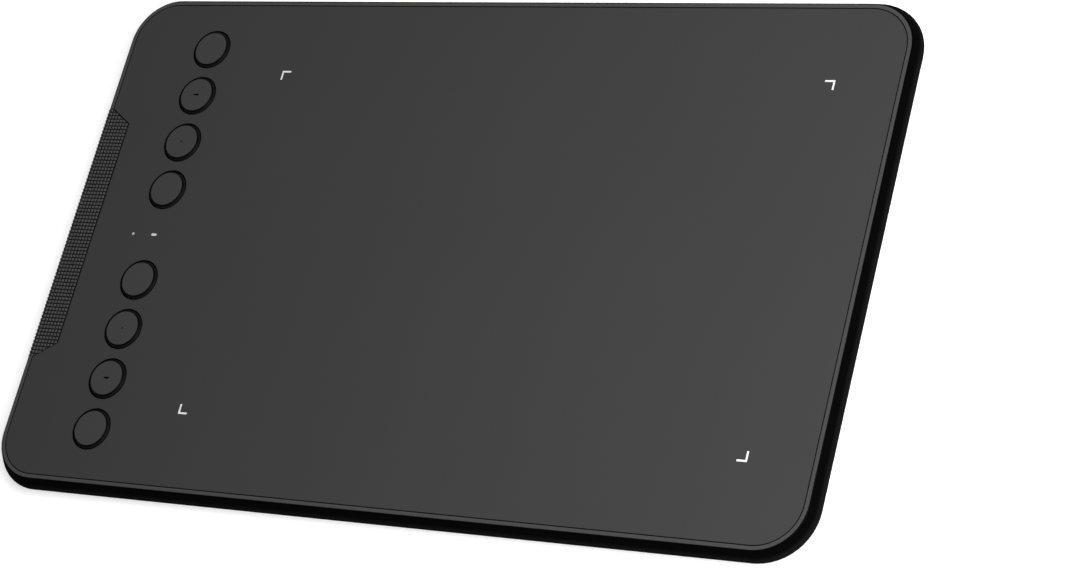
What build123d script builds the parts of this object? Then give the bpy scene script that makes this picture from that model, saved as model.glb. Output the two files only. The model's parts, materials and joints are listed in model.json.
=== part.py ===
from build123d import *
from math import atan2, degrees
import os

# A small graphics tablet, lying on its rubber feet. Millimetres, +Z up.
# X runs along the long side, with the keys at -X, and +Y points away from the user.
# The origin is under the middle of the tablet, on the surface that the feet rest on.

os.makedirs("parts", exist_ok=True)

# One overrun serves all cuts
overrun = 1.0

# What lies side by side under the drawing panel: key board, ribbon cable, sensor board
key_inset = 29.4
board_width = 22.0
board_gap = 10.85
sensor_margin = 6.5
active_length = 177.8
active_depth = 110.6
right_margin = 18.65
end_margin = 22.5

# Plan of the housing, driven by the thin groove between drawing panel and rim
panel_length = key_inset + board_width / 2 + board_gap + sensor_margin + active_length + right_margin
panel_depth = active_depth + 2 * end_margin
panel_corner = 12.4
groove_width = 0.3
rim_width = 1.5
side_flare = 1.9
housing_length = panel_length + 2 * (rim_width + side_flare)
housing_depth = panel_depth + 2 * (rim_width + side_flare)
housing_corner = panel_corner + rim_width + side_flare

# Heights of the housing
foot_proud = 0.8
cover_height = 4.0
frame_height = 4.0
waist_band = 0.5
undercut = 3.4
floor_thickness = 1.5
deck_thickness = 1.2
panel_thickness = 0.5
adhesive_thickness = 0.1
base_z = foot_proud
parting_z = base_z + cover_height
top_z = parting_z + frame_height
floor_top_z = base_z + floor_thickness
deck_top_z = top_z - panel_thickness - adhesive_thickness
deck_bottom_z = deck_top_z - deck_thickness

# Walls, edges and the joint between the two housing halves
wall = 1.6
lip_thickness = 0.8
lip_height = 0.9
lip_clearance = 0.1
shoulder_radius = 0.95
frame_waist_radius = 1.5
cover_waist_edge = 0.35
base_edge_radius = 2.0
side_angle = degrees(atan2(side_flare, frame_height - waist_band))
undercut_angle = degrees(atan2(undercut, cover_height - waist_band))
cover_wall = wall + lip_clearance + lip_thickness

# The notch in the panel and the grip strip that lies in it
notch_depth = 7.5
notch_mouth = 82.8
notch_floor = 73.0
strip_recess = 0.25
strip_thickness = 0.95
strip_leaf = 0.8
strip_skirt = 1.9
strip_clearance = 0.1
strip_top_z = top_z - strip_recess
strip_seat_z = strip_top_z - strip_thickness
strip_skirt_z = top_z - strip_skirt

# The sensor stack behind the drawing area
active_centre_x = panel_length / 2 - right_margin - active_length / 2
sensor_thickness = 0.8
shield_thickness = 0.3
foam_thickness = 0.5
stack_inset = 1.0
locating_clearance = 0.3
locating_rib = 1.0
locating_rib_drop = 1.0
sensor_length = active_length + 2 * sensor_margin
sensor_depth = active_depth + 2 * sensor_margin
sensor_left_x = active_centre_x - sensor_length / 2
sensor_bottom_z = deck_bottom_z - sensor_thickness
shield_bottom_z = sensor_bottom_z - shield_thickness
foam_bottom_z = shield_bottom_z - foam_thickness

# Key column: two groups of four round keys
key_x = key_inset - panel_length / 2
key_end_inset = 15.35
lights_gap_share = 0.875
keys_per_group = 4
crown_radius = 5.35
cap_radius = 6.0
cap_proud = 0.7
cap_top_thickness = 1.2
cap_wall = 0.9
crown_edge = 0.15
key_gap = 0.5
ear_thickness = 0.5
ear_gap = 0.15
ear_reach = 8.6
ear_width = 2.4
ear_clearance = 0.3
guide_rib = 1.0
guide_rib_drop = 1.5
cap_stem_reach = 3.0
cap_stem_rib = 1.0
key_travel = 0.4
deck_hole_gap = 0.2
adhesive_setback = 0.9
dash_length = 1.9
dash_width = 0.6
dot_radius = 0.25
mark_sink = 0.2
panel_hole_radius = cap_radius + key_gap
deck_hole_radius = panel_hole_radius + deck_hole_gap
cap_top_z = top_z + cap_proud
cap_ceiling_z = cap_top_z - cap_top_thickness
ear_bottom_z = deck_bottom_z - ear_gap - ear_thickness
key_pitch = (panel_depth - 2 * key_end_inset) / (2 * keys_per_group - 1 + lights_gap_share)
inner_key_y = key_pitch * (1 + lights_gap_share) / 2
far_group = [inner_key_y + key_pitch * step for step in range(keys_per_group)]
key_ys = sorted([-y for y in far_group] + far_group, reverse=True)
dash_keys = (2, 7)
dot_keys = (3, 6)

# Key board on its standoffs, with a tab that reaches the connector in the left edge
board_standoff = 0.7
board_thickness = 1.0
board_end_margin = 9.5
board_corner = 1.5
tab_width = 24.0
tab_wall_gap = 5.0
board_bottom_z = floor_top_z + board_standoff
board_top_z = board_bottom_z + board_thickness
board_length = 2 * (max(key_ys) + board_end_margin)
board_right_x = key_x + board_width / 2
tab_left_x = -(housing_length / 2 - tab_wall_gap)

# Tact switches
switch_size = 4.4
switch_height = 1.6
switch_floor = 0.25
switch_lid = 0.35
switch_corner = 0.4
plunger_radius = 1.0
plunger_flange_size = 2.9
plunger_flange = 0.35
plunger_spare = 0.1
plunger_gap = 0.15
dome_reach = 1.45
dome_crown = 0.7
dome_leg_width = 1.0
dome_thickness = 0.1
dome_gap = 0.02
switch_top_z = board_top_z + switch_height
cavity_floor_z = board_top_z + switch_floor
cavity_top_z = switch_top_z - switch_lid
cavity_size = plunger_flange_size + 2 * plunger_gap
plunger_top_z = switch_top_z + key_travel + plunger_spare
plunger_flange_top_z = cavity_top_z - plunger_gap
plunger_bottom_z = plunger_flange_top_z - plunger_flange
dome_top_z = plunger_bottom_z - dome_gap

# Connector receptacle in the left edge, sunk into the end of the board's tab
port_width = 8.94
port_height = 3.26
port_length = 7.35
port_metal = 0.3
port_setback = 1.4
port_sink = 0.6
port_clearance = 0.25
port_back = 2.9
tongue_width = 6.69
tongue_thickness = 0.7
tongue_setback = 0.85
port_tab_reach = 0.9
port_tab_length = 2.2
port_tab_thickness = 0.3
port_mouth_x = -(housing_length / 2 - port_setback)
port_rear_x = port_mouth_x + port_length
port_z = board_top_z + port_sink

# Parts on the boards
controller_size = 6.0
controller_height = 0.9
signal_chip_size = 5.0
signal_chip_height = 0.8
crystal_length = 3.2
crystal_width = 2.5
crystal_height = 0.7
chip_edge = 0.15
chip_gap = 8.05
chip_offset_y = 6.2
crystal_gap = 1.55
crystal_offset_y = 8.8
led_length = 1.6
led_width = 0.8
led_height = 0.6
led_base = 0.35

# Light windows between the key groups
dot_light_offset = -7.35
dot_light_radius = 0.45
bar_light_offset = 0.2
bar_light_length = 1.9
bar_light_width = 0.75
light_clearance = 0.08
light_sink = 0.05
light_flange = 1.0
light_flange_thickness = 0.6
light_gap = 0.4
dot_light_x = key_x + dot_light_offset
bar_light_x = key_x + bar_light_offset
light_bottom_z = board_top_z + led_height + light_gap
light_top_z = top_z - light_sink

# Ribbon cable and its two sockets
socket_length = 18.0
socket_width = 4.0
socket_height = 1.1
ribbon_width = 16.0
ribbon_thickness = 0.2
ribbon_bend = 4.0
ribbon_entry = 3.2
ribbon_straight = 3.5
slot_clearance = 0.05
socket_edge_gap = 0.6
socket_board_x = board_right_x - socket_edge_gap - socket_width / 2
socket_sensor_x = sensor_left_x + socket_edge_gap + socket_width / 2
socket_board_z = board_top_z + socket_height / 2
socket_sensor_z = sensor_bottom_z - socket_height / 2
stack_notch_clearance = 1.0

# Screws and bosses
case_screw_radius = 1.0
case_head_radius = 1.9
case_head_height = 1.2
case_head_clearance = 0.3
case_screw_length = 4.0
case_web = 1.4
case_boss_radius = 3.2
case_boss_height = 1.3
frame_boss_radius = 2.4
screw_clearance = 0.05
screw_tip_gap = 0.2
corner_screw_inset_x = 8.6
corner_screw_inset_y = 11.8
left_screw_inset_y = 15.8
edge_screw_inset_y = 8.3
edge_screw_share = -0.02
board_screw_radius = 0.75
board_head_radius = 1.5
board_head_height = 0.9
board_screw_depth = 1.4
board_hole_clearance = 0.2
board_boss_radius = 2.2
boss_top_z = floor_top_z + case_boss_height
case_head_top_z = boss_top_z - case_web

# Stiffening ribs on the floor of the bottom cover
rib_thickness = 1.2
ribs_across = 6
ribs_along = 4
rib_field_inset = 7.0

# Rubber feet
foot_length = 38.0
foot_width = 9.0
foot_pocket = 0.4
foot_clearance = 0.1
foot_edge = 0.3
foot_inset_x = 37.5
foot_inset_y = 14.7
foot_x = housing_length / 2 - foot_inset_x
foot_y = housing_depth / 2 - foot_inset_y

# Places of the case screws, worked out from the housing's plan
case_screw_places = []
for side_y in (-1, 1):
    corner_y = panel_depth / 2 - corner_screw_inset_y
    left_y = panel_depth / 2 - left_screw_inset_y
    edge_y = panel_depth / 2 - edge_screw_inset_y
    case_screw_places.append((panel_length / 2 - corner_screw_inset_x, side_y * corner_y))
    case_screw_places.append((corner_screw_inset_x - panel_length / 2, side_y * left_y))
    case_screw_places.append((edge_screw_share * housing_length, side_y * edge_y))

# Board screws stand between neighbouring keys, two in each group
board_screw_places = []
for first, second in ((0, 1), (2, 3), (4, 5), (6, 7)):
    board_screw_places.append((key_x, (key_ys[first] + key_ys[second]) / 2))

foot_places = [(side_x * foot_x, side_y * foot_y) for side_x in (-1, 1) for side_y in (-1, 1)]
up = (0, 0, 1)
down = (0, 0, -1)


def level(z):
    """The horizontal plane at height z."""
    return Plane.XY.offset(z)


def key_level(y, z):
    """The horizontal plane at height z with its origin on a key's axis."""
    return Plane((key_x, y, z))


def upright(x, y):
    """The XZ plane through a vertical axis, for profiles that are revolved about it."""
    return Plane(origin=(x, y, 0), x_dir=(1, 0, 0), z_dir=(0, -1, 0))


def notch_outline(grow):
    """The notch's outline, moved outwards by grow, drawn out past the left edge."""
    mouth_x = -panel_length / 2
    floor_x = mouth_x + notch_depth
    outside_x = -housing_length / 2 - overrun
    with BuildSketch(Plane.XY) as outline:
        with BuildLine():
            Polyline(
                (outside_x, -notch_mouth / 2),
                (mouth_x, -notch_mouth / 2),
                (floor_x, -notch_floor / 2),
                (floor_x, notch_floor / 2),
                (mouth_x, notch_mouth / 2),
                (outside_x, notch_mouth / 2),
                close=True,
            )
        make_face()
        offset(amount=grow, kind=Kind.INTERSECTION)
    return outline.sketch


def strip_space(clearance):
    """The space of the grip strip: a leaf on the deck and a skirt down the side."""
    with BuildPart() as space:
        with BuildSketch(level(strip_skirt_z - clearance)):
            add(notch_outline(clearance - groove_width / 2))
        extrude(amount=strip_skirt + clearance + overrun)
        core_inset = 2 * (strip_leaf + clearance)
        with BuildSketch(level(parting_z + waist_band)):
            RectangleRounded(
                housing_length - core_inset, housing_depth - core_inset, housing_corner - core_inset / 2
            )
        extrude(amount=strip_seat_z - parting_z - waist_band, taper=side_angle, mode=Mode.SUBTRACT)
    return space.part


def port_plane():
    """An upright plane outside the left edge, looking inwards along the connector."""
    return Plane(
        origin=(-housing_length / 2 - overrun, 0, port_z), x_dir=(0, 1, 0), z_dir=(1, 0, 0)
    )


# Top frame: rim, shoulder and flared side round a deck that carries the panel

with BuildPart() as top_frame:
    with BuildSketch(level(parting_z)):
        RectangleRounded(housing_length, housing_depth, housing_corner)
    extrude(amount=waist_band)
    with BuildSketch(level(parting_z + waist_band)):
        RectangleRounded(housing_length, housing_depth, housing_corner)
    extrude(amount=frame_height - waist_band, taper=side_angle)
    fillet(top_frame.edges().group_by(Axis.Z)[-1], shoulder_radius)
    waist_z = parting_z + waist_band
    fillet(top_frame.edges().filter_by_position(Axis.Z, waist_z, waist_z), frame_waist_radius)
    # The hollow under the deck
    with BuildSketch(level(parting_z)):
        RectangleRounded(housing_length - 2 * wall, housing_depth - 2 * wall, housing_corner - wall)
    extrude(amount=deck_bottom_z - parting_z, taper=side_angle, mode=Mode.SUBTRACT)
    # The recess of the panel, which leaves the groove round it
    with BuildSketch(level(deck_top_z)):
        RectangleRounded(
            panel_length + groove_width, panel_depth + groove_width, panel_corner + groove_width / 2
        )
    extrude(amount=panel_thickness + adhesive_thickness + overrun, mode=Mode.SUBTRACT)
    # Ribs that locate the sensor board
    with BuildSketch(level(deck_bottom_z)):
        with Locations((active_centre_x, 0)):
            locating_inner = 2 * locating_clearance
            locating_outer = 2 * (locating_clearance + locating_rib)
            Rectangle(sensor_length + locating_outer, sensor_depth + locating_outer)
            Rectangle(
                sensor_length + locating_inner, sensor_depth + locating_inner, mode=Mode.SUBTRACT
            )
    extrude(amount=locating_rib_drop, dir=down)
    # Bosses for the case screws
    with BuildSketch(level(boss_top_z)):
        with Locations(*case_screw_places):
            Circle(frame_boss_radius)
    extrude(amount=deck_bottom_z - boss_top_z)
    # Pairs of ribs that keep each cap's ears from turning
    with BuildSketch(level(deck_bottom_z)):
        rib_offset_x = (deck_hole_radius + ear_reach) / 2 + ear_clearance
        rib_offset_y = ear_width / 2 + ear_clearance + guide_rib / 2
        with Locations(*[(key_x, y) for y in key_ys]):
            with GridLocations(2 * rib_offset_x, 2 * rib_offset_y, 2, 2):
                Rectangle(ear_reach - deck_hole_radius, guide_rib)
    extrude(amount=guide_rib_drop, dir=down)
    # Openings for the keys and lights
    with BuildSketch(level(deck_bottom_z - guide_rib_drop)):
        with Locations(*[(key_x, y) for y in key_ys]):
            Circle(deck_hole_radius)
        with Locations((dot_light_x, 0)):
            Circle(dot_light_radius + light_clearance)
        with Locations((bar_light_x, 0)):
            SlotOverall(bar_light_length + 2 * light_clearance, bar_light_width + 2 * light_clearance)
    extrude(amount=guide_rib_drop + deck_thickness + overrun, mode=Mode.SUBTRACT)
    # Pilot holes of the case screws
    with BuildSketch(level(boss_top_z)):
        with Locations(*case_screw_places):
            Circle(case_screw_radius + screw_clearance)
    extrude(amount=case_screw_length - case_web + screw_tip_gap, mode=Mode.SUBTRACT)
    # The seat of the grip strip
    add(strip_space(strip_clearance), mode=Mode.SUBTRACT)
    # The upper half of the connector's opening
    with BuildSketch(port_plane()):
        SlotOverall(port_width + 2 * port_clearance, port_height + 2 * port_clearance)
    extrude(amount=overrun + port_setback + port_length, mode=Mode.SUBTRACT)

top_frame.part.label = "top_frame"
export_step(top_frame.part, "parts/top_frame.step")

# Bottom cover: a shallow tray whose side runs in under the tablet

with BuildPart() as bottom_cover:
    with BuildSketch(level(parting_z)):
        RectangleRounded(housing_length, housing_depth, housing_corner)
    extrude(amount=waist_band, dir=down)
    with BuildSketch(level(parting_z - waist_band)):
        RectangleRounded(housing_length, housing_depth, housing_corner)
    extrude(amount=cover_height - waist_band, dir=down, taper=undercut_angle)
    fillet(bottom_cover.edges().group_by(Axis.Z)[0], base_edge_radius)
    waist_z = parting_z - waist_band
    chamfer(bottom_cover.edges().filter_by_position(Axis.Z, waist_z, waist_z), cover_waist_edge)
    # The lip that centres the top frame
    with BuildSketch(level(parting_z)):
        lip_inset = 2 * (wall + lip_clearance)
        RectangleRounded(
            housing_length - lip_inset, housing_depth - lip_inset, housing_corner - lip_inset / 2
        )
    extrude(amount=lip_height, taper=side_angle)
    # The hollow of the tray, down to the floor and up through the lip
    with BuildSketch(level(parting_z)) as hollow:
        RectangleRounded(
            housing_length - 2 * cover_wall, housing_depth - 2 * cover_wall, housing_corner - cover_wall
        )
    extrude(amount=parting_z - floor_top_z, dir=down, taper=undercut_angle, mode=Mode.SUBTRACT)
    extrude(hollow.sketch, amount=lip_height + overrun, dir=up, taper=side_angle, mode=Mode.SUBTRACT)
    # Ribs that press the insulation sheet up against the sensor stack
    rib_field_length = sensor_length - 2 * rib_field_inset
    rib_field_depth = sensor_depth - 2 * rib_field_inset
    with BuildSketch(level(floor_top_z)):
        with Locations((active_centre_x, 0)):
            with GridLocations(rib_field_length / (ribs_across - 1), 0, ribs_across, 1):
                Rectangle(rib_thickness, rib_field_depth + rib_thickness)
            with GridLocations(0, rib_field_depth / (ribs_along - 1), 1, ribs_along):
                Rectangle(rib_field_length + rib_thickness, rib_thickness)
    extrude(amount=foam_bottom_z - floor_top_z)
    # Bosses for the case screws and standoffs for the key board
    with BuildSketch(level(floor_top_z)):
        with Locations(*case_screw_places):
            Circle(case_boss_radius)
    extrude(amount=case_boss_height)
    with BuildSketch(level(floor_top_z)):
        with Locations(*board_screw_places):
            Circle(board_boss_radius)
    extrude(amount=board_standoff)
    # Counterbores and holes of the case screws
    with BuildSketch(level(base_z)):
        with Locations(*case_screw_places):
            Circle(case_head_radius + case_head_clearance)
    extrude(amount=case_head_top_z - base_z, mode=Mode.SUBTRACT)
    with BuildSketch(level(case_head_top_z)):
        with Locations(*case_screw_places):
            Circle(case_screw_radius + screw_clearance)
    extrude(amount=case_web, mode=Mode.SUBTRACT)
    # Pilot holes of the board screws
    with BuildSketch(level(board_bottom_z)):
        with Locations(*board_screw_places):
            Circle(board_screw_radius + screw_clearance)
    extrude(amount=board_screw_depth, dir=down, mode=Mode.SUBTRACT)
    # Pockets of the rubber feet
    with BuildSketch(level(base_z)):
        with Locations(*foot_places):
            SlotOverall(foot_length + 2 * foot_clearance, foot_width + 2 * foot_clearance)
    extrude(amount=foot_pocket, mode=Mode.SUBTRACT)
    # The lower half of the connector's opening
    with BuildSketch(port_plane()):
        SlotOverall(port_width + 2 * port_clearance, port_height + 2 * port_clearance)
    extrude(amount=overrun + port_setback + port_length, mode=Mode.SUBTRACT)

bottom_cover.part.label = "bottom_cover"
export_step(bottom_cover.part, "parts/bottom_cover.step")

# Drawing panel and the adhesive sheet under it

with BuildPart() as drawing_panel:
    with BuildSketch(level(top_z - panel_thickness)):
        RectangleRounded(
            panel_length - groove_width, panel_depth - groove_width, panel_corner - groove_width / 2
        )
        add(notch_outline(groove_width / 2), mode=Mode.SUBTRACT)
        with Locations(*[(key_x, y) for y in key_ys]):
            Circle(panel_hole_radius, mode=Mode.SUBTRACT)
        with Locations((dot_light_x, 0)):
            Circle(dot_light_radius + light_clearance, mode=Mode.SUBTRACT)
        with Locations((bar_light_x, 0)):
            SlotOverall(
                bar_light_length + 2 * light_clearance,
                bar_light_width + 2 * light_clearance,
                mode=Mode.SUBTRACT,
            )
    extrude(amount=panel_thickness)

drawing_panel.part.label = "drawing_panel"
export_step(drawing_panel.part, "parts/drawing_panel.step")

with BuildPart() as panel_adhesive:
    with BuildSketch(level(deck_top_z)):
        RectangleRounded(
            panel_length - 2 * adhesive_setback,
            panel_depth - 2 * adhesive_setback,
            panel_corner - adhesive_setback,
        )
        add(notch_outline(adhesive_setback), mode=Mode.SUBTRACT)
        # One window round each group of keys and one round the lights
        window_width = 2 * (panel_hole_radius + adhesive_setback)
        window_depth = (keys_per_group - 1) * key_pitch + window_width
        with Locations((key_x, 0)):
            with GridLocations(0, key_ys[0] + inner_key_y, 1, 2):
                Rectangle(window_width, window_depth, mode=Mode.SUBTRACT)
        with Locations(((dot_light_x + bar_light_x) / 2, 0)):
            lights_width = bar_light_x - dot_light_x + bar_light_length + 2 * adhesive_setback
            Rectangle(lights_width, bar_light_width + 2 * adhesive_setback, mode=Mode.SUBTRACT)
    extrude(amount=adhesive_thickness)

panel_adhesive.part.label = "panel_adhesive"
export_step(panel_adhesive.part, "parts/panel_adhesive.step")

# Grip strip: the housing's own outer form, a little lower on top, inside the strip's space

with BuildPart() as grip_strip:
    with BuildSketch(level(parting_z + waist_band)):
        RectangleRounded(housing_length, housing_depth, housing_corner)
    extrude(amount=frame_height - waist_band - strip_recess, taper=side_angle)
    fillet(grip_strip.edges().group_by(Axis.Z)[-1], shoulder_radius)
    add(strip_space(0), mode=Mode.INTERSECT)

grip_strip.part.label = "grip_strip"
export_step(grip_strip.part, "parts/grip_strip.step")

# Keys: each cap presses the plunger of its own tact switch

for number, y in enumerate(key_ys, start=1):
    with BuildPart() as key_cap:
        with BuildSketch(upright(key_x, y)):
            with BuildLine():
                Polyline(
                    (0, cap_top_z),
                    (crown_radius, cap_top_z),
                    (cap_radius, top_z),
                    (cap_radius, ear_bottom_z),
                    (cap_radius - cap_wall, ear_bottom_z),
                    (cap_radius - cap_wall, cap_ceiling_z),
                    (0, cap_ceiling_z),
                    close=True,
                )
            make_face()
        revolve(axis=Axis((key_x, y, 0), up))
        chamfer(key_cap.edges().group_by(Axis.Z)[-1], crown_edge)
        # A cross-shaped stem, which stands on the switch's plunger
        with BuildSketch(key_level(y, plunger_top_z)):
            Rectangle(cap_stem_reach, cap_stem_rib)
            Rectangle(cap_stem_rib, cap_stem_reach)
        extrude(amount=cap_ceiling_z - plunger_top_z)
        # Two ears, which catch under the deck and run between its guide ribs
        with BuildSketch(key_level(y, ear_bottom_z)):
            ear_root = cap_radius - cap_wall / 2
            with GridLocations(ear_reach + ear_root, 0, 2, 1):
                Rectangle(ear_reach - ear_root, ear_width)
        extrude(amount=ear_thickness)
        # The mark that fingers find: a dash or a dot sunk into the crown
        if number in dash_keys:
            with BuildSketch(key_level(y, cap_top_z)):
                SlotOverall(dash_length, dash_width)
            extrude(amount=mark_sink, dir=down, mode=Mode.SUBTRACT)
        if number in dot_keys:
            with BuildSketch(key_level(y, cap_top_z)):
                Circle(dot_radius)
            extrude(amount=mark_sink, dir=down, mode=Mode.SUBTRACT)

    key_cap.part.label = f"key_cap_{number}"
    export_step(key_cap.part, f"parts/key_cap_{number}.step")

    with BuildPart() as switch_plunger:
        with BuildSketch(key_level(y, plunger_bottom_z)):
            Rectangle(plunger_flange_size, plunger_flange_size)
        extrude(amount=plunger_flange)
        with BuildSketch(key_level(y, plunger_flange_top_z)):
            Circle(plunger_radius)
        extrude(amount=plunger_top_z - plunger_flange_top_z)

    switch_plunger.part.label = f"switch_plunger_{number}"
    export_step(switch_plunger.part, f"parts/switch_plunger_{number}.step")

    with BuildPart() as switch_housing:
        with BuildSketch(key_level(y, board_top_z)):
            Rectangle(switch_size, switch_size)
        extrude(amount=switch_height)
        chamfer(switch_housing.edges().filter_by(Axis.Z), switch_corner)
        with BuildSketch(key_level(y, cavity_floor_z)):
            Rectangle(cavity_size, cavity_size)
        extrude(amount=cavity_top_z - cavity_floor_z, mode=Mode.SUBTRACT)
        with BuildSketch(key_level(y, cavity_top_z)):
            Circle(plunger_radius + plunger_gap)
        extrude(amount=switch_lid, mode=Mode.SUBTRACT)

    switch_housing.part.label = f"switch_housing_{number}"
    export_step(switch_housing.part, f"parts/switch_housing_{number}.step")

    with BuildPart() as snap_dome:
        # Two bowed strips that cross on the switch's axis make a four-legged dome
        for along, across in (((1, 0, 0), (0, -1, 0)), ((0, 1, 0), (1, 0, 0))):
            with BuildSketch(Plane(origin=(key_x, y, 0), x_dir=along, z_dir=across)):
                with BuildLine():
                    Polyline(
                        (-dome_reach, cavity_floor_z),
                        (-dome_crown, dome_top_z),
                        (dome_crown, dome_top_z),
                        (dome_reach, cavity_floor_z),
                        (dome_reach - 2 * dome_thickness, cavity_floor_z),
                        (dome_crown - dome_thickness, dome_top_z - dome_thickness),
                        (dome_thickness - dome_crown, dome_top_z - dome_thickness),
                        (2 * dome_thickness - dome_reach, cavity_floor_z),
                        close=True,
                    )
                make_face()
            extrude(amount=dome_leg_width / 2, both=True)

    snap_dome.part.label = f"snap_dome_{number}"
    export_step(snap_dome.part, f"parts/snap_dome_{number}.step")

# Key board, with its tab, the connector's notch and its screw holes

with BuildPart() as key_board:
    with BuildSketch(level(board_bottom_z)):
        with Locations((key_x, 0)):
            RectangleRounded(board_width, board_length, board_corner)
        with Locations(((tab_left_x + key_x) / 2, 0)):
            Rectangle(key_x - tab_left_x, tab_width)
        with Locations((port_rear_x + port_clearance - port_length / 2, 0)):
            Rectangle(port_length, port_width + 2 * port_clearance, mode=Mode.SUBTRACT)
        with Locations(*board_screw_places):
            Circle(board_screw_radius + board_hole_clearance, mode=Mode.SUBTRACT)
    extrude(amount=board_thickness)

key_board.part.label = "key_board"
export_step(key_board.part, "parts/key_board.step")

# Connector receptacle: a drawn metal shell and the tongue with its rear block

with BuildPart() as connector_shell:
    mouth = Plane(origin=(port_mouth_x, 0, port_z), x_dir=(0, 1, 0), z_dir=(1, 0, 0))
    with BuildSketch(mouth):
        SlotOverall(port_width, port_height)
        SlotOverall(port_width - 2 * port_metal, port_height - 2 * port_metal, mode=Mode.SUBTRACT)
    extrude(amount=port_length)
    # Side tabs that rest on the board
    with BuildSketch(level(board_top_z)):
        tab_centre_x = port_rear_x - port_back / 2 - port_tab_length / 2
        tab_span = port_width + port_tab_reach - port_metal
        with Locations((tab_centre_x, tab_span / 2), (tab_centre_x, -tab_span / 2)):
            Rectangle(port_tab_length, port_tab_reach + port_metal)
    extrude(amount=port_tab_thickness)

connector_shell.part.label = "connector_shell"
export_step(connector_shell.part, "parts/connector_shell.step")

with BuildPart() as connector_tongue:
    with BuildSketch(mouth.offset(tongue_setback)):
        Rectangle(tongue_width, tongue_thickness)
    extrude(amount=port_length - tongue_setback)
    with BuildSketch(mouth.offset(port_length)):
        SlotOverall(port_width - 2 * port_metal, port_height - 2 * port_metal)
    extrude(amount=-port_back)

connector_tongue.part.label = "connector_tongue"
export_step(connector_tongue.part, "parts/connector_tongue.step")

# Chips and crystal on the tab of the key board

chip_x = port_rear_x + chip_gap

with BuildPart() as controller_chip:
    with BuildSketch(Plane((chip_x, -chip_offset_y, board_top_z))):
        Rectangle(controller_size, controller_size)
    extrude(amount=controller_height)
    chamfer(controller_chip.edges().group_by(Axis.Z)[-1], chip_edge)

controller_chip.part.label = "controller_chip"
export_step(controller_chip.part, "parts/controller_chip.step")

with BuildPart() as pen_signal_chip:
    with BuildSketch(Plane((chip_x, chip_offset_y, board_top_z))):
        Rectangle(signal_chip_size, signal_chip_size)
    extrude(amount=signal_chip_height)
    chamfer(pen_signal_chip.edges().group_by(Axis.Z)[-1], chip_edge)

pen_signal_chip.part.label = "pen_signal_chip"
export_step(pen_signal_chip.part, "parts/pen_signal_chip.step")

with BuildPart() as crystal:
    crystal_x = port_rear_x + crystal_gap
    with BuildSketch(Plane((crystal_x, -crystal_offset_y, board_top_z))):
        Rectangle(crystal_length, crystal_width)
    extrude(amount=crystal_height)
    chamfer(crystal.edges().group_by(Axis.Z)[-1], chip_edge)

crystal.part.label = "crystal"
export_step(crystal.part, "parts/crystal.step")

# Lights on the board and the clear pipes that carry them up to the panel

for name, light_x in (("dot_light", dot_light_x), ("bar_light", bar_light_x)):
    with BuildPart() as light:
        with BuildSketch(Plane((light_x, 0, board_top_z))):
            Rectangle(led_length, led_width)
        extrude(amount=led_base)
        with BuildSketch(Plane((light_x, 0, board_top_z + led_base))):
            Rectangle(led_length - led_base, led_width)
        extrude(amount=led_height - led_base)

    light.part.label = name
    export_step(light.part, f"parts/{name}.step")

with BuildPart() as dot_light_pipe:
    with BuildSketch(Plane((dot_light_x, 0, light_bottom_z))):
        Circle(dot_light_radius)
    extrude(amount=light_top_z - light_bottom_z)
    with BuildSketch(Plane((dot_light_x, 0, deck_bottom_z))):
        Rectangle(2 * (dot_light_radius + light_flange), 2 * (dot_light_radius + light_flange))
    extrude(amount=light_flange_thickness, dir=down)

dot_light_pipe.part.label = "dot_light_pipe"
export_step(dot_light_pipe.part, "parts/dot_light_pipe.step")

with BuildPart() as bar_light_pipe:
    with BuildSketch(Plane((bar_light_x, 0, light_bottom_z))):
        SlotOverall(bar_light_length, bar_light_width)
    extrude(amount=light_top_z - light_bottom_z)
    with BuildSketch(Plane((bar_light_x, 0, deck_bottom_z))):
        Rectangle(bar_light_length + 2 * light_flange, bar_light_width + 2 * light_flange)
    extrude(amount=light_flange_thickness, dir=down)

bar_light_pipe.part.label = "bar_light_pipe"
export_step(bar_light_pipe.part, "parts/bar_light_pipe.step")

# Sensor stack: antenna board, steel shield and insulation sheet, notched for the socket

with BuildPart() as sensor_board:
    with BuildSketch(level(sensor_bottom_z)):
        with Locations((active_centre_x, 0)):
            Rectangle(sensor_length, sensor_depth)
    extrude(amount=sensor_thickness)

sensor_board.part.label = "sensor_board"
export_step(sensor_board.part, "parts/sensor_board.step")


def stack_sheet_outline():
    """Outline of the sheets behind the sensor board, with the socket's notch."""
    notch_reach = socket_sensor_x + socket_width / 2 + stack_notch_clearance - sensor_left_x
    with BuildSketch(Plane.XY) as outline:
        with Locations((active_centre_x, 0)):
            Rectangle(sensor_length - 2 * stack_inset, sensor_depth - 2 * stack_inset)
        with Locations((sensor_left_x + notch_reach / 2, 0)):
            Rectangle(notch_reach, socket_length + 2 * stack_notch_clearance, mode=Mode.SUBTRACT)
    return outline.sketch


with BuildPart() as shield_plate:
    with BuildSketch(level(shield_bottom_z)):
        add(stack_sheet_outline())
    extrude(amount=shield_thickness)

shield_plate.part.label = "shield_plate"
export_step(shield_plate.part, "parts/shield_plate.step")

with BuildPart() as insulation_sheet:
    with BuildSketch(level(foam_bottom_z)):
        add(stack_sheet_outline())
    extrude(amount=foam_thickness)

insulation_sheet.part.label = "insulation_sheet"
export_step(insulation_sheet.part, "parts/insulation_sheet.step")

# Ribbon cable between the boards, and its two sockets

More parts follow.
